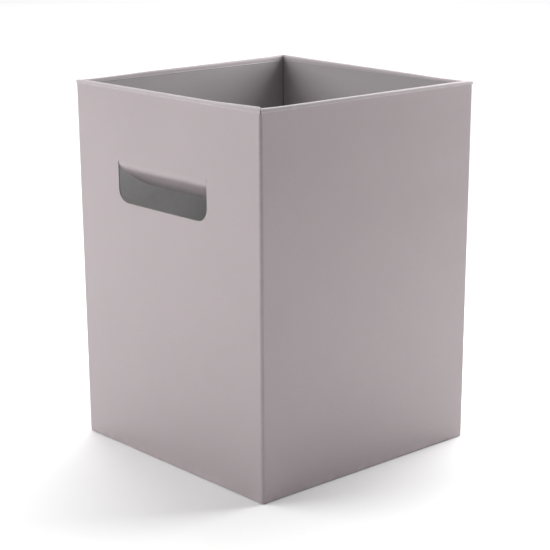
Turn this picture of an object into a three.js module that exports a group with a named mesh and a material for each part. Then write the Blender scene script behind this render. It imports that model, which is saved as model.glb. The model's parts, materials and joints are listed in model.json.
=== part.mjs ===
// Folding waste box: a square, slightly tapered bin folded up from one die-cut board.
// Every panel between two creases is its own solid, so the creases can be real hinges.
// Units are millimetres, +Z is up, the origin is the centre of the underside.
import * as THREE from 'three';

// ---- driving dimensions -------------------------------------------------
const W_TOP = 180;          // outside width at the rim
const W_BOTTOM = 178;       // outside width at the floor
const H = 240;              // overall height
const T = 1.2;              // board thickness
const GAP = 0.3;            // clearance between neighbouring panels

const RIM_H = 2.7;          // height of the rounded fold above its two creases
const RIM_W = 2.8;          // thickness of the rim: wall, air and turned-in lining
const LINING_DEPTH = 42;    // how far the lining hangs down inside
const LINING_SIDE = 3.8;    // lining ends stop this far from the outside corner

const HOLE_W = 88;          // hand hole, four fingers wide
const HOLE_H = 23;
const HOLE_TOP = 189;       // height of the hole's top edge, which is the flap's crease
const HOLE_R = 9;           // the two lower corners
const HOLE_SHIFT = 3;       // the hole sits this far behind the wall's middle
const CUT = 0.35;           // width of the cut around the flap
const FLAP_ANGLE = 55;      // how far the flap is pushed in, degrees from the wall

const TAB_W = 20;           // side-seam glue tab
const TAB_BOTTOM = 5;
const TAB_TOP = 188;

const HOOK = 16;            // how far each main base flap reaches past the middle
const MINOR_REACH = 70;     // how far each side base flap reaches in

// ---- helpers ------------------------------------------------------------
const HW = W_TOP / 2;
const taperAt = (z) => (W_BOTTOM + (W_TOP - W_BOTTOM) * (z / H)) / W_TOP;

// Narrow a geometry towards the floor, so that the four walls lean out together.
function taper(geometry) {
  const p = geometry.attributes.position;
  for (let i = 0; i < p.count; i++) {
    const s = taperAt(p.getZ(i));
    p.setX(i, p.getX(i) * s);
    p.setY(i, p.getY(i) * s);
  }
  return geometry;
}

function move(geometry, fn) {
  const p = geometry.attributes.position;
  for (let i = 0; i < p.count; i++) {
    const [x, y, z] = fn(p.getX(i), p.getY(i), p.getZ(i));
    p.setXYZ(i, x, y, z);
  }
  return geometry;
}

function polygon(points) {
  const s = new THREE.Shape();
  points.forEach(([a, b], i) => (i ? s.lineTo(a, b) : s.moveTo(a, b)));
  s.closePath();
  return s;
}

const board = (colour, roughness = 0.38, metalness = 0.25) =>
  new THREE.MeshStandardMaterial({ color: colour, roughness, metalness });
const PEARL = 0xc3b8bb;
const RIM = 0xcdc3c6;
const LINER = 0xb9b0b3;
const FLOOR = 0xaea5a8;

function node(name, geometry, colour) {
  const m = new THREE.Mesh(geometry, board(colour));
  m.name = name;
  return m;
}

// One side's panels are drawn as the front (facing -Y) and turned round Z.
const SIDES = [
  ['front', 0],
  ['right', 90],
  ['back', 180],
  ['left', 270],
];

// ---- the hand hole and its flap ----------------------------------------
// Straight crease along the top, two rounded lower corners.
function holeOutline(target, cx, inset, top) {
  const a = HOLE_W / 2 - inset;
  const r = HOLE_R - inset;
  const low = HOLE_TOP - HOLE_H + inset;
  target.moveTo(cx - a, top);
  target.lineTo(cx - a, low + r);
  target.absarc(cx - a + r, low + r, r, Math.PI, 1.5 * Math.PI, false);
  target.lineTo(cx + a - r, low);
  target.absarc(cx + a - r, low + r, r, 1.5 * Math.PI, 2 * Math.PI, false);
  target.lineTo(cx + a, top);
  target.closePath();
  return target;
}

// ---- wall panel ---------------------------------------------------------
// Mitred at its two upright edges, where the next wall is creased on.
function wall(holeAt) {
  const a = HW;
  const top = H - RIM_H - GAP / 2;
  const s = polygon([[-a, 0], [a, 0], [a, top], [-a, top]]);
  if (holeAt !== null) s.holes.push(holeOutline(new THREE.Path(), holeAt, 0, HOLE_TOP));
  const g = new THREE.ExtrudeGeometry(s, { depth: T, bevelEnabled: false, curveSegments: 6 });
  // shape (x, height), depth inward from the outside face
  move(g, (x, h, d) => {
    let xx = x;
    if (Math.abs(Math.abs(x) - a) < 1e-6) xx = Math.sign(x) * (a - d - GAP / 2);
    return [xx, -HW + d, h];
  });
  return taper(g);
}

// ---- rounded rim fold ---------------------------------------------------
// A small arch of board between the outer crease and the inner crease.
function rimFold() {
  const outer = [];
  const inner = [];
  const n = 10;
  for (let i = 0; i <= n; i++) {
    const t = Math.PI - (Math.PI * i) / n;
    outer.push([RIM_W / 2 + (RIM_W / 2) * Math.cos(t), RIM_H * Math.sin(t)]);
  }
  const iw = RIM_W / 2 - T;
  for (let i = 0; i <= n; i++) {
    const t = (Math.PI * i) / n;
    inner.push([RIM_W / 2 + iw * Math.cos(t), (RIM_H - T) * Math.sin(t)]);
  }
  const s = polygon([...outer, ...inner]);
  const len = 2 * HW;
  const g = new THREE.ExtrudeGeometry(s, { depth: len, bevelEnabled: false });
  // shape (inward, up), extruded along the wall; both ends are mitred
  move(g, (u, h, k) => {
    const end = HW - u - GAP;
    return [k < len / 2 ? -end : end, -HW + u, H - RIM_H + h + (h < 1e-6 ? GAP / 2 : 0)];
  });
  return taper(g);
}

// ---- turned-in lining ---------------------------------------------------
function lining() {
  const a = HW - LINING_SIDE;
  const top = H - RIM_H - GAP / 2;
  const low = H - RIM_H - LINING_DEPTH;
  const c = 6; // clipped lower corners, so that it tucks in
  const s = polygon([[-a, low + c], [-a + c, low], [a - c, low], [a, low + c], [a, top], [-a, top]]);
  const g = new THREE.ExtrudeGeometry(s, { depth: T, bevelEnabled: false });
  move(g, (x, h, d) => [x, -HW + RIM_W - T + d, h]);
  return taper(g);
}

// ---- hand flap ----------------------------------------------------------
// Drawn flush in the hole about its crease on the inside face, then pushed in.
function flapGeometry(cx) {
  const s = holeOutline(new THREE.Shape(), cx, CUT, HOLE_TOP - GAP);
  const g = new THREE.ExtrudeGeometry(s, { depth: T, bevelEnabled: false, curveSegments: 6 });
  return move(g, (x, h, d) => [x, d - T, h - HOLE_TOP]);
}

// ---- base ---------------------------------------------------------------
// Lower layer: two main flaps that hook into each other along an S-shaped edge.
const IN = HW - T - GAP;    // inside of the walls, less clearance
function mainSeam() {
  return [
    [-IN, HOOK], [-30, HOOK], [-12, HOOK - 3], [-5, HOOK - 9],
    [5, -HOOK + 9], [12, -HOOK + 3], [30, -HOOK], [IN, -HOOK],
  ];
}
function frontMain() {
  const seam = mainSeam().map(([x, y]) => [x, y - GAP / 2]);
  const s = polygon([[IN, -IN], ...seam.slice().reverse(), [-IN, -IN]]);
  const g = new THREE.ExtrudeGeometry(s, { depth: T, bevelEnabled: false });
  return taper(g);
}

// Upper layer: a side flap with a 45 degree crease, and the wing beyond it that is
// glued down on the neighbouring main flap. Drawn for the left side.
const UP = T + GAP;
function sideFlap() {
  const k = IN - 1.6;
  const m = IN - MINOR_REACH;   // reach line, measured from the middle
  const s = polygon([[-IN, -k], [-m - 0.2, -m + 1.4 - 0.2], [-m, 12], [-m - 22, 46], [-IN, 80]]);
  const g = new THREE.ExtrudeGeometry(s, { depth: T, bevelEnabled: false });
  g.translate(0, 0, UP);
  return taper(g);
}
function sideWing() {
  const m = IN - MINOR_REACH;
  const s = polygon([[-IN + 1.9, -IN], [-46, -IN], [-m, -54], [-m, -m + 0.6], ]);
  const g = new THREE.ExtrudeGeometry(s, { depth: T, bevelEnabled: false });
  g.translate(0, 0, UP);
  return taper(g);
}

// ---- side-seam glue tab -------------------------------------------------
// Folded round from the back wall and glued inside the right wall.
function glueTab() {
  const y1 = HW - T - GAP;
  const y0 = y1 - TAB_W;
  const c = 7;
  const s = polygon([[y0, TAB_BOTTOM + c], [y1, TAB_BOTTOM], [y1, TAB_TOP], [y0, TAB_TOP - c]]);
  const g = new THREE.ExtrudeGeometry(s, { depth: T, bevelEnabled: false });
  move(g, (y, h, d) => [HW - T - GAP - d, y, h]);
  // the axes were swapped, so the winding is turned back
  return taper(flip(g));
}

function flip(geometry) {
  const g = geometry.index ? geometry.toNonIndexed() : geometry;
  const p = g.attributes.position;
  for (let i = 0; i < p.count; i += 3) {
    const b = [p.getX(i + 1), p.getY(i + 1), p.getZ(i + 1)];
    p.setXYZ(i + 1, p.getX(i + 2), p.getY(i + 2), p.getZ(i + 2));
    p.setXYZ(i + 2, ...b);
  }
  return g;
}

// Signed volume, to turn a geometry outward whatever its axes were swapped to.
function outward(geometry) {
  const g = geometry.index ? geometry.toNonIndexed() : geometry;
  const p = g.attributes.position;
  const a = new THREE.Vector3(), b = new THREE.Vector3(), c = new THREE.Vector3();
  let v = 0;
  for (let i = 0; i < p.count; i += 3) {
    a.fromBufferAttribute(p, i); b.fromBufferAttribute(p, i + 1); c.fromBufferAttribute(p, i + 2);
    v += a.dot(b.cross(c)) / 6;
  }
  const out = v < 0 ? flip(g) : g;
  out.computeVertexNormals();
  return out;
}

// ---- assembly -----------------------------------------------------------
const bin = new THREE.Group();
bin.name = 'folding_waste_box';

for (const [side, degrees] of SIDES) {
  const group = new THREE.Group();
  group.rotation.z = (degrees * Math.PI) / 180;
  // the same place behind the middle on both handle walls
  const cx = side === 'right' ? HOLE_SHIFT : side === 'left' ? -HOLE_SHIFT : null;
  group.add(node(`${side}_wall`, outward(wall(cx)), PEARL));
  group.add(node(`${side}_rim_fold`, outward(rimFold()), RIM));
  group.add(node(`${side}_lining`, outward(lining()), LINER));
  if (cx !== null) {
    const flap = node(`${side}_hand_flap`, outward(flapGeometry(cx)), PEARL);
    flap.position.set(0, -(HW - T) * taperAt(HOLE_TOP), HOLE_TOP);
    flap.rotation.x = (FLAP_ANGLE * Math.PI) / 180;
    group.add(flap);
  }
  bin.add(group);
}

const base = new THREE.Group();
for (const [front, side, turn] of [['front', 'left', 0], ['back', 'right', Math.PI]]) {
  const half = new THREE.Group();
  half.rotation.z = turn;
  half.add(node(`${front}_base_flap`, outward(frontMain()), FLOOR));
  half.add(node(`${side}_base_flap`, outward(sideFlap()), FLOOR));
  half.add(node(`${side}_base_wing`, outward(sideWing()), FLOOR));
  base.add(half);
}
bin.add(base);
bin.add(node('glue_tab', outward(glueTab()), LINER));

export default bin;
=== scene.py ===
import json
import math

import bmesh
import bpy
import numpy as np
from mathutils import Matrix, Vector
from mathutils.geometry import delaunay_2d_cdt


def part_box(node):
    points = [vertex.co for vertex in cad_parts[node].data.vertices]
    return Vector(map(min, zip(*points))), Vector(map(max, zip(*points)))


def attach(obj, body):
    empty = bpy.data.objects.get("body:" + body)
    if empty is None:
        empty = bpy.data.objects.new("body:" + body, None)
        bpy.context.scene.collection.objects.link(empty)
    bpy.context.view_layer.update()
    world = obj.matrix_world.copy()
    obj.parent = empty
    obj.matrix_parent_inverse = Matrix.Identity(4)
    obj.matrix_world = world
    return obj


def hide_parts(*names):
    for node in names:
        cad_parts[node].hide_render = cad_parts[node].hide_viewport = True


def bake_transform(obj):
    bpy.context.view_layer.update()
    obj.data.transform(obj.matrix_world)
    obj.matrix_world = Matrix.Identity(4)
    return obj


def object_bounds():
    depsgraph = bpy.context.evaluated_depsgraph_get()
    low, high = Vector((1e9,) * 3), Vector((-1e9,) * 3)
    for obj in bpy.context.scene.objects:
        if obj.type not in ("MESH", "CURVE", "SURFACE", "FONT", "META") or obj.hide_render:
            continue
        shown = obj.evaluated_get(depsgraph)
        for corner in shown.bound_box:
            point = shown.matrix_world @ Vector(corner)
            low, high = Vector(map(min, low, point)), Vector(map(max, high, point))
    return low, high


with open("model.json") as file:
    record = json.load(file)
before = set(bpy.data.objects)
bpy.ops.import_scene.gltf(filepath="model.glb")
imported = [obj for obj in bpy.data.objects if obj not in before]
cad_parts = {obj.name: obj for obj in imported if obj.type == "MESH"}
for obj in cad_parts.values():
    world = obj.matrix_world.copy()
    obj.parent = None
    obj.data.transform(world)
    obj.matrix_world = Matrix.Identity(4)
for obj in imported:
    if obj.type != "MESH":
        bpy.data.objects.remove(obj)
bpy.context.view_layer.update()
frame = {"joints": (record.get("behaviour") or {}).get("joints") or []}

# ------------------------------------------------------------------ sizes, from the CAD frame
JOINT = {j["name"]: j for j in frame["joints"]}
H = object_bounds()[1].z * 1000
CREASE_Z = JOINT["front_rim_crease"]["pos_m"][2] * 1000          # the two rim creases
HINGE_Z = JOINT["left_hand_flap_crease"]["pos_m"][2] * 1000      # the hand flap's crease
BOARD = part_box("front_base_flap")[1].z * 1000                    # board thickness
RIM_W = (JOINT["front_lining_crease"]["pos_m"][1] - JOINT["front_rim_crease"]["pos_m"][1]) * 1000
RIM_H = H - CREASE_Z
W_BOT = 178.0
HW = 90.3                         # half the rim; the coating and the creases stand a hair proud of the plain panels
LINING_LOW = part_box("front_lining")[0].z * 1000
HOLE_HALF, HOLE_DROP, HOLE_R, HOLE_SHIFT = 44.0, 23.0, 9.0, 2.6
CUT = 0.35
PUSHED = math.radians(55)
RC = 1.95                                                         # upright corner creases
RB = 0.7                                                          # crease to the base

SIDES = {"front": 0.0, "right": 90.0, "back": 180.0, "left": 270.0}


def taper(z):
    return (W_BOT + (180.0 - W_BOT) * z / H) / 180.0


# ------------------------------------------------------------------ node materials
def new_material(name):
    m = bpy.data.materials.new(name)
    m.use_nodes = True
    nt = m.node_tree
    nt.nodes.clear()
    out = nt.nodes.new("ShaderNodeOutputMaterial")
    bsdf = nt.nodes.new("ShaderNodeBsdfPrincipled")
    nt.links.new(bsdf.outputs[0], out.inputs[0])
    return m, nt, bsdf


def node(nt, kind, **values):
    n = nt.nodes.new(kind)
    for k, v in values.items():
        if hasattr(n, k):
            setattr(n, k, v)
        else:
            n.inputs[k].default_value = v
    return n


def ramp(nt, fac, stops):
    r = nt.nodes.new("ShaderNodeValToRGB")
    nt.links.new(fac, r.inputs[0])
    cr = r.color_ramp
    while len(cr.elements) < len(stops):
        cr.elements.new(0.5)
    for e, (p, c) in zip(cr.elements, stops):
        e.position = p
        e.color = (*c, 1) if len(c) == 3 else c
    return r


def noise(nt, vec, scale, detail=3.0, rough=0.5):
    n = nt.nodes.new("ShaderNodeTexNoise")
    n.inputs["Scale"].default_value = scale
    n.inputs["Detail"].default_value = detail
    n.inputs["Roughness"].default_value = rough
    nt.links.new(vec, n.inputs["Vector"])
    return n


def pearl(name, tint, metallic=0.12, rough=(0.38, 0.44), specular=0.5, bump=0.02, wear_and_highlight_tint=1.22, broken=(0.40, 0.0, 0.70, 1.0)):
    """Pearl-coated board: fine mica sparkle, a faint paper fibre under it, paler by a per-vertex share (scuffing on the
    walls, painted highlight along the rim creases, the lining's bead and the flap's fold), duller where folded.
    """
    m, nt, b = new_material(name)
    co = nt.nodes.new("ShaderNodeTexCoord").outputs["Object"]
    cloud = noise(nt, co, 22.0, 3.0, 0.55)
    fleck = noise(nt, co, 2600.0, 2.0, 0.6)
    fibre_map = nt.nodes.new("ShaderNodeMapping")
    fibre_map.inputs["Scale"].default_value = (1.0, 1.0, 0.35)
    nt.links.new(co, fibre_map.inputs["Vector"])
    fibre = noise(nt, fibre_map.outputs[0], 900.0, 4.0, 0.6)
    t = np.array(tint)
    base = ramp(nt, cloud.outputs["Fac"], [(0.35, tuple(t * 0.985)), (0.65, tuple(t * 1.012))])
    spark = ramp(nt, fleck.outputs["Fac"], [(0.30, (0.93, 0.93, 0.94)), (0.62, (1.0, 1.0, 1.0)), (0.80, (1.09, 1.07, 1.08))])
    mul = node(nt, "ShaderNodeMix", data_type="RGBA", blend_type="MULTIPLY")
    mul.inputs["Factor"].default_value = 1.0
    nt.links.new(base.outputs[0], mul.inputs[6])
    nt.links.new(spark.outputs[0], mul.inputs[7])
    # per-vertex share lifting the colour to a paler tint: scuffing on the walls' corners and foot, painted highlight
    # along the rim creases, the lining's bead and the flap's fold
    wear_and_highlight = nt.nodes.new("ShaderNodeAttribute")
    wear_and_highlight.attribute_name = "wear_and_highlight"
    rub_and_highlight = nt.nodes.new("ShaderNodeMath"); rub_and_highlight.operation = "MULTIPLY"
    p0, v0, p1, v1 = broken
    breakup = ramp(nt, noise(nt, co, 160.0, 3.0, 0.6).outputs["Fac"], [(p0, (v0,) * 3), (p1, (v1,) * 3)])
    nt.links.new(wear_and_highlight.outputs["Fac"], rub_and_highlight.inputs[0])
    nt.links.new(breakup.outputs[0], rub_and_highlight.inputs[1])
    worn_and_highlighted = node(nt, "ShaderNodeMix", data_type="RGBA")
    nt.links.new(rub_and_highlight.outputs[0], worn_and_highlighted.inputs["Factor"])
    nt.links.new(mul.outputs[2], worn_and_highlighted.inputs[6])
    worn_and_highlighted.inputs[7].default_value = (*np.clip(t * wear_and_highlight_tint, 0, 1), 1)
    dull = nt.nodes.new("ShaderNodeAttribute")
    dull.attribute_name = "dull"
    tone = node(nt, "ShaderNodeMix", data_type="RGBA")
    nt.links.new(dull.outputs["Fac"], tone.inputs["Factor"])
    nt.links.new(worn_and_highlighted.outputs[2], tone.inputs[6])
    tone.inputs[7].default_value = (0, 0, 0, 1)
    nt.links.new(tone.outputs[2], b.inputs["Base Color"])
    b.inputs["Metallic"].default_value = metallic
    b.inputs["Specular IOR Level"].default_value = specular
    r = ramp(nt, cloud.outputs["Fac"], [(0.3, (rough[0],) * 3), (0.7, (rough[1],) * 3)])
    nt.links.new(r.outputs[0], b.inputs["Roughness"])
    add = nt.nodes.new("ShaderNodeMath"); add.operation = "ADD"
    nt.links.new(fibre.outputs["Fac"], add.inputs[0])
    nt.links.new(fleck.outputs["Fac"], add.inputs[1])
    bp = nt.nodes.new("ShaderNodeBump")
    bp.inputs["Strength"].default_value = bump
    bp.inputs["Distance"].default_value = 0.0002
    nt.links.new(add.outputs[0], bp.inputs["Height"])
    nt.links.new(bp.outputs[0], b.inputs["Normal"])
    return m


def bare_board(name, tint, spread=0.05, scale=420.0, rough=0.72, stretch=(1, 1, 1), bump=0.12):
    """The uncoated side of the board, or its cut edge: matt, mottled, fibrous."""
    m, nt, b = new_material(name)
    co = nt.nodes.new("ShaderNodeTexCoord").outputs["Object"]
    mp = nt.nodes.new("ShaderNodeMapping")
    mp.inputs["Scale"].default_value = stretch
    nt.links.new(co, mp.inputs["Vector"])
    mottle = noise(nt, mp.outputs[0], 60.0, 4.0, 0.6)
    fibre = noise(nt, mp.outputs[0], scale, 5.0, 0.65)
    t = np.array(tint)
    c1 = ramp(nt, mottle.outputs["Fac"], [(0.3, tuple(t * (1 - spread))), (0.7, tuple(t * (1 + spread)))])
    c2 = ramp(nt, fibre.outputs["Fac"], [(0.35, (0.94, 0.935, 0.93)), (0.7, (1.03, 1.03, 1.03))])
    mul = node(nt, "ShaderNodeMix", data_type="RGBA", blend_type="MULTIPLY")
    mul.inputs["Factor"].default_value = 1.0
    nt.links.new(c1.outputs[0], mul.inputs[6])
    nt.links.new(c2.outputs[0], mul.inputs[7])
    nt.links.new(mul.outputs[2], b.inputs["Base Color"])
    rr = ramp(nt, fibre.outputs["Fac"], [(0.3, (rough - 0.08,) * 3), (0.7, (rough + 0.08,) * 3)])
    nt.links.new(rr.outputs[0], b.inputs["Roughness"])
    bp = nt.nodes.new("ShaderNodeBump")
    bp.inputs["Strength"].default_value = bump
    bp.inputs["Distance"].default_value = 0.0003
    nt.links.new(fibre.outputs["Fac"], bp.inputs["Height"])
    nt.links.new(bp.outputs[0], b.inputs["Normal"])
    return m


FACE = pearl("pearl_coat", (0.404, 0.3515, 0.3655))
# the rim strips' coat: its much paler tint is the painted highlight drawn on the crease bands
CREASED = pearl("pearl_coat_creased", (0.400, 0.360, 0.371), rough=(0.46, 0.52), specular=0.3, wear_and_highlight_tint=1.75, broken=(0.30, 0.35, 0.62, 1.0))
INNER = pearl("pearl_coat_inner", (0.393, 0.366, 0.376))
BACK = bare_board("board_inside", (0.41, 0.407, 0.408))
EDGE = bare_board("board_cut_edge", (0.34, 0.33, 0.33), spread=0.12, scale=1500.0, rough=0.85)

# ------------------------------------------------------------------ sheets of board
def cdt(loops, points):
    """Triangles of the region inside the first loop and outside the others."""
    verts, edges = [], []
    for loop in loops:
        k = len(verts)
        verts += [Vector(p) for p in loop]
        edges += [(k + i, k + (i + 1) % len(loop)) for i in range(len(loop))]
    verts += [Vector(p) for p in points]
    v, _, f, _, _, _ = delaunay_2d_cdt(verts, edges, [], 0, 1e-5, False)
    co = np.array([(p.x, p.y) for p in v])

    def inside(p, loop):
        c = False
        j = len(loop) - 1
        for i in range(len(loop)):
            xi, yi = loop[i]
            xj, yj = loop[j]
            if (yi > p[1]) != (yj > p[1]) and p[0] < (xj - xi) * (p[1] - yi) / (yj - yi) + xi:
                c = not c
            j = i
        return c

    faces = []
    for t in f:
        mid = co[list(t)].mean(0)
        if inside(mid, loops[0]) and not any(inside(mid, h) for h in loops[1:]):
            a, b, c = (co[i] for i in t)
            area = (b[0] - a[0]) * (c[1] - a[1]) - (b[1] - a[1]) * (c[0] - a[0])
            if abs(area) > 1e-7:
                faces.append(tuple(t) if area > 0 else tuple(reversed(t)))
    used = sorted({i for t in faces for i in t})
    back = {o: n for n, o in enumerate(used)}
    return co[used], [tuple(back[i] for i in t) for t in faces]


def sheet_mesh(name, co, faces, place, turn=0.0, soft=0.16, keep_sharp=None, wear_and_highlight=None, steps=1, flip=False, coat=None, dull=None):
    """A board sheet: the 2D faces at depth 0 and depth 1, closed round the boundary.
    place(p, d) gives millimetres for a 2D point at depth share d. Boundary edges where keep_sharp(p, q) is true are left square."""
    n = len(co)
    bm = bmesh.new()
    rings = []
    for k in range(steps + 1):
        rings.append([bm.verts.new(place(p, k / steps)) for p in co])
    mats = bm.faces.layers.int.new("kind")
    edges = {}
    for t in faces:
        for a, b in ((t[0], t[1]), (t[1], t[2]), (t[2], t[0])):
            edges[(a, b)] = True
    for t in faces:
        f = bm.faces.new([rings[0][i] for i in (t if not flip else reversed(t))]); f[mats] = 0
        f = bm.faces.new([rings[-1][i] for i in (reversed(t) if not flip else t)]); f[mats] = 1
    rims = []
    for a, b in edges:
        if (b, a) in edges:
            continue
        for k in range(steps):
            quad = [rings[k][b], rings[k][a], rings[k + 1][a], rings[k + 1][b]]
            if flip:
                quad.reverse()
            f = bm.faces.new(quad); f[mats] = 2
        if keep_sharp is None or not keep_sharp(co[a], co[b]):
            rims.append((rings[0][a], rings[0][b]))
            rims.append((rings[-1][a], rings[-1][b]))
    bm.normal_update()
    if soft:
        es = [e for e in (bm.edges.get(p) for p in rims) if e is not None]
        bmesh.ops.bevel(bm, geom=es, offset=soft, offset_type="OFFSET", segments=2, profile=0.55, affect="EDGES", clamp_overlap=True)
    m = Matrix.Rotation(math.radians(turn), 4, "Z") @ Matrix.Scale(0.001, 4)
    bmesh.ops.transform(bm, matrix=m, verts=bm.verts)
    bmesh.ops.recalc_face_normals(bm, faces=bm.faces)
    me = bpy.data.meshes.new(name)
    for mat in (coat or FACE, BACK, EDGE):
        me.materials.append(mat)
    kinds = [f[mats] for f in bm.faces]
    bm.to_mesh(me)
    bm.free()
    me.polygons.foreach_set("material_index", kinds)
    me.polygons.foreach_set("use_smooth", [True] * len(me.polygons))
    me.update()
    inv = Matrix.Rotation(math.radians(-turn), 4, "Z") @ Matrix.Scale(1000, 4)
    for label, share in (("wear_and_highlight", wear_and_highlight), ("dull", dull)):
        w = me.attributes.new(label, "FLOAT", "POINT")
        w.data.foreach_set("value", [0.0 if share is None else float(share(inv @ v.co)) for v in me.vertices])
    o = bpy.data.objects.new(name, me)
    bpy.context.scene.collection.objects.link(o)
    me.set_sharp_from_angle(angle=math.radians(38))
    wn = o.modifiers.new("even_shading", "WEIGHTED_NORMAL")
    wn.keep_sharp = True
    wn.weight = 60
    with bpy.context.temp_override(object=o, active_object=o, selected_objects=[o]):
        bpy.ops.object.modifier_apply(modifier=wn.name)
    return o


def rows(a, b, n):
    return [a + (b - a) * i / n for i in range(n + 1)]


# ------------------------------------------------------------------ walls
F = HW - RC                       # half the flat part of a wall, between the corner curves
ARC = RC * math.pi / 4
LOW = RB * math.pi / 2


def bulge(x, z):
    """How far a wall stands out from flat: board under a little tension, most near half height."""
    e = max(0.0, 1 - (x / F) ** 2)
    return 0.55 * e * math.sin(math.pi * min(1, max(0, z / CREASE_Z))) ** 0.9


def wall_place(p, d, side):
    q, r = p
    t = d * BOARD
    if r >= 0:
        u, z = t, RB + r
    else:
        a = -r / RB
        u, z = RB - (RB - t) * math.cos(a), RB - (RB - t) * math.sin(a)
    if abs(q) <= F:
        x, y = q, -HW + u
        y -= bulge(q, z)
    else:
        a = (abs(q) - F) / RC
        x = math.copysign(F + (RC - u) * math.sin(a), q)
        y = -(HW - RC) - (RC - u) * math.cos(a)
    s = taper(z)
    return (x * s, y * s, z)


def hole_loop(cx, top):
    """Counter-clockwise outline of the hand hole in the wall's (q, r) plane; top is where the flap's fold starts."""
    lo = HINGE_Z - HOLE_DROP - RB
    hi = top - RB
    pts = [(cx + HOLE_HALF, hi), (cx - HOLE_HALF, hi)]
    pts += [(cx - HOLE_HALF, v) for v in rows(hi, lo + HOLE_R, 5)[1:-1]]
    for k in range(11):
        a = math.pi + math.pi / 2 * k / 10
        pts.append((cx - HOLE_HALF + HOLE_R + HOLE_R * math.cos(a), lo + HOLE_R + HOLE_R * math.sin(a)))
    pts += [(v, lo) for v in rows(cx - HOLE_HALF + HOLE_R, cx + HOLE_HALF - HOLE_R, 14)[1:-1]]
    for k in range(11):
        a = 1.5 * math.pi + math.pi / 2 * k / 10
        pts.append((cx + HOLE_HALF - HOLE_R + HOLE_R * math.cos(a), lo + HOLE_R + HOLE_R * math.sin(a)))
    pts += [(cx + HOLE_HALF, v) for v in rows(lo + HOLE_R, hi, 5)[1:-1]]
    top_pts = [(v, hi) for v in rows(cx + HOLE_HALF, cx - HOLE_HALF, 22)[1:-1]]
    return pts[:1] + top_pts + pts[1:]


ROLL_R = 7.5                      # the soft fold at the flap's root
P0 = (BOARD - BOARD * math.cos(PUSHED), HINGE_Z - BOARD * math.sin(PUSHED))
ROLL_Z = P0[1] + (ROLL_R - (ROLL_R - P0[0]) * math.cos(PUSHED)) / math.sin(PUSHED)
ROLL_TOP = ROLL_Z + 0.05


def make_wall(side):
    handle = side in ("left", "right")
    cx = {"right": HOLE_SHIFT, "left": -HOLE_SHIFT}.get(side)
    top = CREASE_Z - RB
    qs = [-(F + ARC), -(F + ARC * 0.995)] + [-(F + ARC * k / 7) for k in range(6, 0, -1)]
    qs += rows(-F, F, 30)
    qs += [F + ARC * k / 7 for k in range(1, 7)] + [F + ARC * 0.995, F + ARC]
    rs = [-LOW * k / 7 for k in range(7, 0, -1)] + rows(0, top, 40)[:-1] + [top - 1.2, top - 0.7, top - 0.4, top - 0.2, top]
    outer = [(q, rs[0]) for q in qs] + [(qs[-1], r) for r in rs[1:]]
    outer += [(q, rs[-1]) for q in reversed(qs[:-1])] + [(qs[0], r) for r in reversed(rs[1:-1])]
    loops = [outer]
    if handle:
        loops.append(hole_loop(cx, ROLL_TOP))
    inner = []
    for q in qs[1:-1]:
        for r in rs[1:-1]:
            if handle and abs(q - cx) < HOLE_HALF + 1.2 and HINGE_Z - HOLE_DROP - 1.2 < r + RB < ROLL_TOP + 1.2:
                continue
            inner.append((q, r))
    co, faces = cdt(loops, inner)
    lim = F + ARC - 1e-4

    def square(a, b):
        return abs(a[0]) > lim and abs(b[0]) > lim or min(a[1], b[1]) < -LOW + 1e-4 or (
            handle and abs(a[1] + RB - ROLL_TOP) < 1e-4 and abs(b[1] + RB - ROLL_TOP) < 1e-4)

    def wear_and_highlight(c):
        edge = max(0.0, 1 - (HW - abs(c.x)) / 2.2) * (0.8 if abs(c.y) > HW - 3.5 else 0)
        foot = max(0.0, 1 - c.z / 2.0) * 0.9
        return min(1.0, max(edge, foot))

    o = sheet_mesh(f"{side}_wall_board", co, faces, lambda p, d: wall_place(p, d, side), SIDES[side], 0.16, square, wear_and_highlight)
    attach(o, "shell")
    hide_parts(f"{side}_wall")
    return o


# ------------------------------------------------------------------ turned-over rim
def arch(n=26):
    """The rim's section, (inward, up) from the outer crease: a pressed outer crease, a sloped strip, a rounded inner crease."""
    pts = []
    for i in range(n + 1):
        a = math.pi - math.pi * i / n
        c, s = math.cos(a), math.sin(a)
        e = 2.0 / 3.0
        u = RIM_W / 2 + RIM_W / 2 * math.copysign(abs(c) ** e, c)
        h = RIM_H * abs(s) ** e
        pts.append((u, h))
    # the creases stand a hair proud where the coating was scored
    out = []
    for u, h in pts:
        bead = math.exp(-((h - 0.35) / 0.34) ** 2)
        out.append((u - 0.20 * bead if u < RIM_W / 2 else u + 0.12 * bead, h))
    out[0] = (0.02, 0.0)
    return out


def under_arch(n=26):
    """The strip's underside, at the same steps as arch()."""
    w, h, e = RIM_W / 2 - BOARD * 0.98, RIM_H - BOARD * 0.98, 2.0 / 3.0
    out = []
    for i in range(n + 1):
        a = math.pi - math.pi * i / n
        out.append((RIM_W / 2 + w * math.copysign(abs(math.cos(a)) ** e, math.cos(a)), h * abs(math.sin(a)) ** e))
    return out


# how far the top of each strip stands above or below true, along the wall: folded board is never quite even
STAND = {"front": ((-90, -75, 75, 90), (0.4, 0.0, 0.0, -0.5)),
         "right": ((-90, -80, -60, -40, -20, 0, 20, 60, 75, 84, 90), (-0.8, -1.05, -1.1, -0.7, -0.45, -0.25, 0.0, 0.35, 0.65, 0.8, 1.0)),
         "back": ((-90, -85, -75, -40, 0, 35, 50, 70, 80, 90), (0.95, 0.8, 0.45, 0.25, 0.0, -0.15, -0.5, -0.8, -0.85, -0.6)),
         "left": ((-90, -75, 50, 65, 75, 84, 90), (-0.5, 0.0, 0.0, 0.5, 0.8, 1.05, 1.1))}


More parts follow.
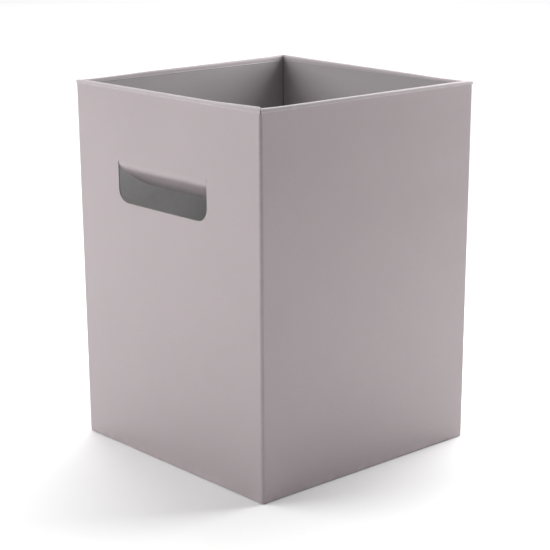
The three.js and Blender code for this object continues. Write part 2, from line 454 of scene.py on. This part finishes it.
def make_rim(side):
    top = arch()
    under = under_arch()
    n = len(top) - 1
    ks = rows(-1, 1, 34)
    ks = [-1, -0.997, -0.99] + ks[1:-1] + [0.99, 0.997, 1]
    co = [(k, i) for k in ks for i in range(n + 1)]
    tri = []
    for a in range(len(ks) - 1):
        for i in range(n):
            p, q = a * (n + 1) + i, (a + 1) * (n + 1) + i
            tri += [(p, q, q + 1), (p, q + 1, p + 1)]

    def place(p, d):
        k, i = p
        u, h = top[int(i)] if d == 0 else under[int(i)]
        # the strips almost meet over the corner; lower down the knife leaves a pinhole
        short = 0.06 + (0.45 * (1 - h / RIM_H) ** 1.5 if u < RIM_W / 2 else 0.0)
        x = k * (HW - u - short)
        s = taper(CREASE_Z + h)
        return (x * s, (-HW + u) * s, CREASE_Z + h + float(np.interp(x, *STAND[side])) * (h / RIM_H))

    # painted highlight: pale bands just above the outer crease and at the inner crease stand in for the glint on the
    # crease beads
    def wear_and_highlight(c):
        u, h = HW + c.y / taper(c.z), max(0.0, c.z - CREASE_Z)
        if u < RIM_W / 2:
            return 0.45 * math.exp(-((h - 0.6) / 0.40) ** 2)
        return 0.45 * math.exp(-((h - 0.15) / 0.35) ** 2)

    o = sheet_mesh(f"{side}_rim_board", np.array(co, float), tri, place, SIDES[side], 0.0, None, wear_and_highlight, coat=CREASED)
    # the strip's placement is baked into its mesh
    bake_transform(o)
    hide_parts(f"{side}_rim_fold")
    return o


# ------------------------------------------------------------------ turned-in lining
def make_lining(side):
    half = HW - RIM_W - 0.15
    # how hard the crease is pressed sets its bead, and also how strong the painted highlight on it is
    press_and_highlight = 1.0 if side in ("front", "back") else 0.35
    lo, hi = LINING_LOW, CREASE_Z - 0.02
    c, rr = 6.0, 2.0
    # rounded, clipped lower corners
    def corner(sx):
        return [(sx * half, lo + c + 1.2), (sx * (half - 0.35), lo + c), (sx * (half - c), lo + 0.35), (sx * (half - c - 1.2), lo)]
    right = corner(1)
    left = corner(-1)
    low = [(x, lo) for x in rows(left[3][0], right[3][0], 26)]
    loop = low + [right[2], right[1], right[0]]
    loop += [(half, z) for z in rows(right[0][1], hi, 6)[1:]]
    loop += [(x, hi) for x in rows(half, -half, 30)[1:]]
    loop += [(-half, z) for z in rows(hi, left[0][1], 6)[1:]]
    loop += [left[1], left[2]]
    pts = [(x, z) for x in rows(-half, half, 30)[1:-1] for z in rows(lo, hi, 9)[1:-1] if abs(x) < half - 7.5 or z > lo + 8.5]
    pts += [(x, hi - k) for x in rows(-half, half, 30)[1:-1] for k in (0.2, 0.4, 0.6, 0.8, 1.0, 1.2, 1.4, 1.7)]
    co, faces = cdt([loop], pts)

    def place(p, d):
        x, z = p
        x -= math.copysign(1.0 * min(1.0, max(0.0, (hi - 22 - z) / 16)) * max(0.0, (abs(x) - half + 20) / 20), x)
        u = RIM_W - d * BOARD
        spring = 0.55 * max(0.0, (hi - 6 - z) / (hi - lo)) ** 1.4 * (0.55 + 0.45 * math.cos(math.pi * x / half / 1.3))
        u += spring
        if d == 0:                    # the pressed crease: a low bead with a groove under it
            u += press_and_highlight * (0.14 * math.exp(-((hi - 0.55 - z) / 0.3) ** 2) - 0.07 * math.exp(-((hi - 1.05 - z) / 0.22) ** 2))
        s = taper(z)
        return (x * s, (-HW + u) * s, z)

    top_square = lambda a, b: a[1] > hi - 1e-4 and b[1] > hi - 1e-4
    # the pale band on the bead, 0.55 mm under the top, is painted highlight; full on front and back, faint on the sides
    o = sheet_mesh(f"{side}_lining_board", co, faces, place, SIDES[side], 0.14, top_square,
                   lambda q: 0.5 * press_and_highlight ** 2 * max(0.0, 1 - abs(CREASE_Z - 0.55 - q.z) / 0.5), flip=True, coat=INNER)
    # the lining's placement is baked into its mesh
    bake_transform(o)
    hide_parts(f"{side}_lining")
    return o


# ------------------------------------------------------------------ hand flap with its soft fold
def make_flap(side):
    cx = {"right": HOLE_SHIFT, "left": -HOLE_SHIFT}[side]
    # outer face: down the wall, round the fold, then straight along the pushed-in flap
    ca, sa = math.cos(PUSHED), math.sin(PUSHED)
    p0 = np.array(P0)                                                     # a point on the flap's outer face
    d = np.array([sa, -ca])                                               # along the flap, towards its tip
    cz = ROLL_Z                                                           # the fold's circle touches both outer faces
    path = [(0.0, ROLL_TOP)]
    for k in range(17):
        a = PUSHED * k / 16
        path.append((ROLL_R - ROLL_R * math.cos(a), cz - ROLL_R * math.sin(a)))
    end = np.array(path[-1])
    done = float((end - p0) @ d)
    total = HOLE_DROP - CUT
    for s in rows(done, total, 16)[1:]:
        path.append(tuple(p0 + d * s))
    dist = [0.0]
    for a, b in zip(path, path[1:]):
        dist.append(dist[-1] + math.hypot(b[0] - a[0], b[1] - a[1]))
    length = dist[-1]
    half = HOLE_HALF - CUT
    r = HOLE_R - CUT
    loop = [(cx + v, 0.0) for v in rows(-half, half, 30)]
    loop += [(cx + half, v) for v in rows(0, length - r, 10)[1:]]
    for k in range(1, 11):
        a = math.pi / 2 * k / 10
        loop.append((cx + half - r + r * math.cos(a), length - r + r * math.sin(a)))
    loop += [(cx + v, length) for v in rows(half - r, -half + r, 22)[1:]]
    for k in range(1, 11):
        a = math.pi / 2 + math.pi / 2 * k / 10
        loop.append((cx - half + r + r * math.cos(a), length - r + r * math.sin(a)))
    loop += [(cx - half, v) for v in rows(length - r, 0, 10)[1:-1]]
    pts = [(cx + v, w) for v in rows(-half, half, 30)[1:-1] for w in dist[1:-1] if abs(v) < half - r - 1 or w < length - r - 0.5]
    co, faces = cdt([loop], pts)
    nodes = np.array(path)
    ds = np.array(dist)

    def at(w):
        w = min(max(w, 0.0), length)
        i = int(min(np.searchsorted(ds, w, side="right") - 1, len(ds) - 2))
        f = (w - ds[i]) / (ds[i + 1] - ds[i])
        p = nodes[i] * (1 - f) + nodes[i + 1] * f
        lo_, hi_ = nodes[max(0, i - 1)], nodes[min(len(nodes) - 1, i + 1)]
        lo2, hi2 = nodes[i], nodes[min(len(nodes) - 1, i + 2)]
        t = (hi_ - lo_) * (1 - f) + (hi2 - lo2) * f
        t = t / np.linalg.norm(t)
        return p, np.array([-t[1], t[0]])

    ts = taper(HINGE_Z)

    def place(p, dd):
        x, w = p
        q, nn = at(w)
        q = q + nn * dd * BOARD
        # a slight crown across the flap, as thumbs leave it
        u, z = q
        b = bulge(x, HINGE_Z) * max(0.0, 1 - w / 6.0)
        s = taper(z)
        return (x * ts, (-HW + u - b) * (s if w < 3 else ts), z)

    square = lambda a, b: a[1] < 1e-4 and b[1] < 1e-4
    # the pale band along the fold, at the crease height, is painted highlight on the roll
    o = sheet_mesh(f"{side}_flap_board", co, faces, place, SIDES[side], 0.14, square,
                   lambda c: 0.35 * math.exp(-((c.z - HINGE_Z) / 1.5) ** 2), flip=True)
    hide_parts(f"{side}_hand_flap")
    a = math.radians(SIDES[side])

    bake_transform(o)
    return o


# ------------------------------------------------------------------ base
IN = HW - BOARD - 0.3


def flat_piece(name, outline, z0, node_name, turn, wear_and_highlight=None, bend=None, up_face_back=True):
    """A base panel drawn flat: outline counter-clockwise in the un-tapered plan; its lower face is the coated one."""
    loop = []
    for a, b in zip(outline, outline[1:] + outline[:1]):
        k = max(1, int(math.hypot(b[0] - a[0], b[1] - a[1]) / 5))
        loop += [(a[0] + (b[0] - a[0]) * i / k, a[1] + (b[1] - a[1]) * i / k) for i in range(k)]
    xs = [p[0] for p in outline]
    ys = [p[1] for p in outline]
    pts = []
    for x in np.arange(min(xs) + 3, max(xs) - 2, 6.0):
        for y in np.arange(min(ys) + 3, max(ys) - 2, 6.0):
            ok = True
            for a, b in zip(outline, outline[1:] + outline[:1]):
                L = math.hypot(b[0] - a[0], b[1] - a[1])
                if ((b[0] - a[0]) * (y - a[1]) - (b[1] - a[1]) * (x - a[0])) / L < 1.5 and \
                   -2 < ((x - a[0]) * (b[0] - a[0]) + (y - a[1]) * (b[1] - a[1])) / L < L + 2:
                    ok = False
            if ok:
                pts.append((x, y))
    co, faces = cdt([loop], pts)

    def place(p, d):
        z = z0 + d * BOARD
        s = taper(z0)
        if bend:
            z += bend(p[0], p[1])
        return (p[0] * s, p[1] * s, z)

    o = sheet_mesh(name, co, faces, place, turn, 0.14, None, wear_and_highlight, flip=True)
    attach(o, "shell")
    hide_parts(node_name)
    return o


def make_base():
    hook = 16.0
    seam = [(-IN, hook), (-30, hook), (-18, hook - 1.2), (-10.5, hook - 4.2), (-5, hook - 9), (0, 0), (5, -hook + 9), (10.5, -hook + 4.2),
            (18, -hook + 1.2), (30, -hook), (IN, -hook)]
    main = [(IN, -IN)] + [(x, y - 0.2) for x, y in reversed(seam)] + [(-IN, -IN)]
    m = IN - 70.0
    k = IN - 1.6
    flap = [(-IN, -k), (-m - 0.25, -m + 1.1), (-m, 10), (-m - 1.5, 14), (-m - 22, 46), (-m - 25, 49), (-IN, 80)]
    wing = [(-IN + 1.95, -IN), (-46, -IN), (-m - 1.5, -56.5), (-m, -54), (-m, -m + 0.65)]
    for front, side, turn in (("front", "left", 0.0), ("back", "right", 180.0)):
        flat_piece(f"{front}_base_board", ccw(main), 0.0, f"{front}_base_flap", turn)
        flat_piece(f"{side}_base_board", ccw(flap), BOARD + 0.3, f"{side}_base_flap", turn)
        flat_piece(f"{side}_wing_board", ccw(wing), BOARD + 0.3, f"{side}_base_wing", turn)


def ccw(poly):
    a = sum(p[0] * q[1] - q[0] * p[1] for p, q in zip(poly, poly[1:] + poly[:1]))
    return list(poly) if a > 0 else list(reversed(poly))


def make_tab():
    lo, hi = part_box("glue_tab")
    z0, z1 = lo.z * 1000, hi.z * 1000
    y1 = HW - BOARD - 0.3
    y0 = y1 - 20.0
    c = 7.0
    outline = [(y0, z0 + c), (y0 + 1.2, z0 + c - 0.9), (y1, z0), (y1, z1), (y0 + 1.0, z1 - c + 0.2), (y0, z1 - c - 0.8)]
    loop = []
    poly = ccw(outline)
    for a, b in zip(poly, poly[1:] + poly[:1]):
        k = max(1, int(math.hypot(b[0] - a[0], b[1] - a[1]) / 5))
        loop += [(a[0] + (b[0] - a[0]) * i / k, a[1] + (b[1] - a[1]) * i / k) for i in range(k)]
    pts = [(y, z) for y in (y0 + 5, y0 + 10, y0 + 15) for z in np.arange(z0 + 9, z1 - 9, 6)]
    co, faces = cdt([loop], pts)

    def place(p, d):
        y, z = p
        x = HW - BOARD - 0.3 - d * BOARD + bulge(y, z)
        s = taper(z)
        return (x * s, y * s, z)

    o = sheet_mesh("glue_tab_board", co, faces, place, 0.0, 0.14)
    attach(o, "shell")
    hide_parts("glue_tab")


for side in SIDES:
    make_wall(side)
    make_rim(side)
    make_lining(side)
for side in ("left", "right"):
    make_flap(side)
make_base()
make_tab()

# ------------------------------------------------------------------ studio
def plane(name, half, z, mat):
    me = bpy.data.meshes.new(name)
    me.from_pydata([(-half, -half, z), (half, -half, z), (half, half, z), (-half, half, z)], [], [(0, 1, 2, 3)])
    me.materials.append(mat)
    o = bpy.data.objects.new(name, me)
    bpy.context.scene.collection.objects.link(o)
    return o


pale = bpy.data.materials.new("studio_floor_paint")
pale.use_nodes = True
b = [n for n in pale.node_tree.nodes if n.type == "BSDF_PRINCIPLED"][0]
b.inputs["Base Color"].default_value = (0.86, 0.86, 0.86, 1)
b.inputs["Roughness"].default_value = 0.8
floor = plane("studio_floor", 9, -0.0002, pale)


def softbox(name, az, el, dist, glow, wide, high):
    """A large soft light at this azimuth and elevation from the object; glow is its radiance, wide and high its size in metres."""
    a, e = math.radians(az), math.radians(el)
    l = bpy.data.lights.new(name, "AREA")
    l.shape = "RECTANGLE"
    l.size, l.size_y = wide, high
    l.energy = math.pi * wide * high * glow
    o = bpy.data.objects.new(name, l)
    bpy.context.scene.collection.objects.link(o)
    d = Vector((math.cos(a) * math.cos(e), math.sin(a) * math.cos(e), math.sin(e)))
    o.location = d * dist + Vector((0, 0, 0.12))
    o.rotation_mode = "QUATERNION"
    o.rotation_quaternion = d.to_track_quat("Z", "Y")
    return o


softbox("softbox_right", 340, 34, 0.62, 7.8, 0.45, 0.45)
softbox("softbox_left", 136, 32, 1.6, 4.7, 1.4, 1.2)
softbox("softbox_back", 48, 52, 4.2, 5.0, 4.0, 3.5)

w = bpy.data.worlds.new("studio")
w.use_nodes = True
w.node_tree.nodes["Background"].inputs[0].default_value = (1, 1, 1, 1)
w.node_tree.nodes["Background"].inputs[1].default_value = 0.11
bpy.context.scene.world = w
bpy.context.scene.view_settings.view_transform = "Standard"
bpy.context.scene.view_settings.look = "None"

# ------------------------------------------------------------------ camera
cam = bpy.data.cameras.new("camera")
cam.sensor_width = 36.0
cam.lens = 36.0 * 1605.4 / 550.0
cam_o = bpy.data.objects.new("camera", cam)
bpy.context.scene.collection.objects.link(cam_o)
az, el, roll = math.radians(228.29), math.radians(14.60), math.radians(-0.25)
zb = Vector((math.cos(az) * math.cos(el), math.sin(az) * math.cos(el), math.sin(el)))
x = Vector((0, 0, 1)).cross(zb).normalized()
y = zb.cross(x)
xr = math.cos(roll) * x + math.sin(roll) * y
yr = -math.sin(roll) * x + math.cos(roll) * y
cam_o.matrix_world = Matrix(((xr.x, yr.x, zb.x, -3.796 * 0.18), (xr.y, yr.y, zb.y, -4.264 * 0.18), (xr.z, yr.z, zb.z, 2.100 * 0.18), (0, 0, 0, 1)))
bpy.context.scene.camera = cam_o
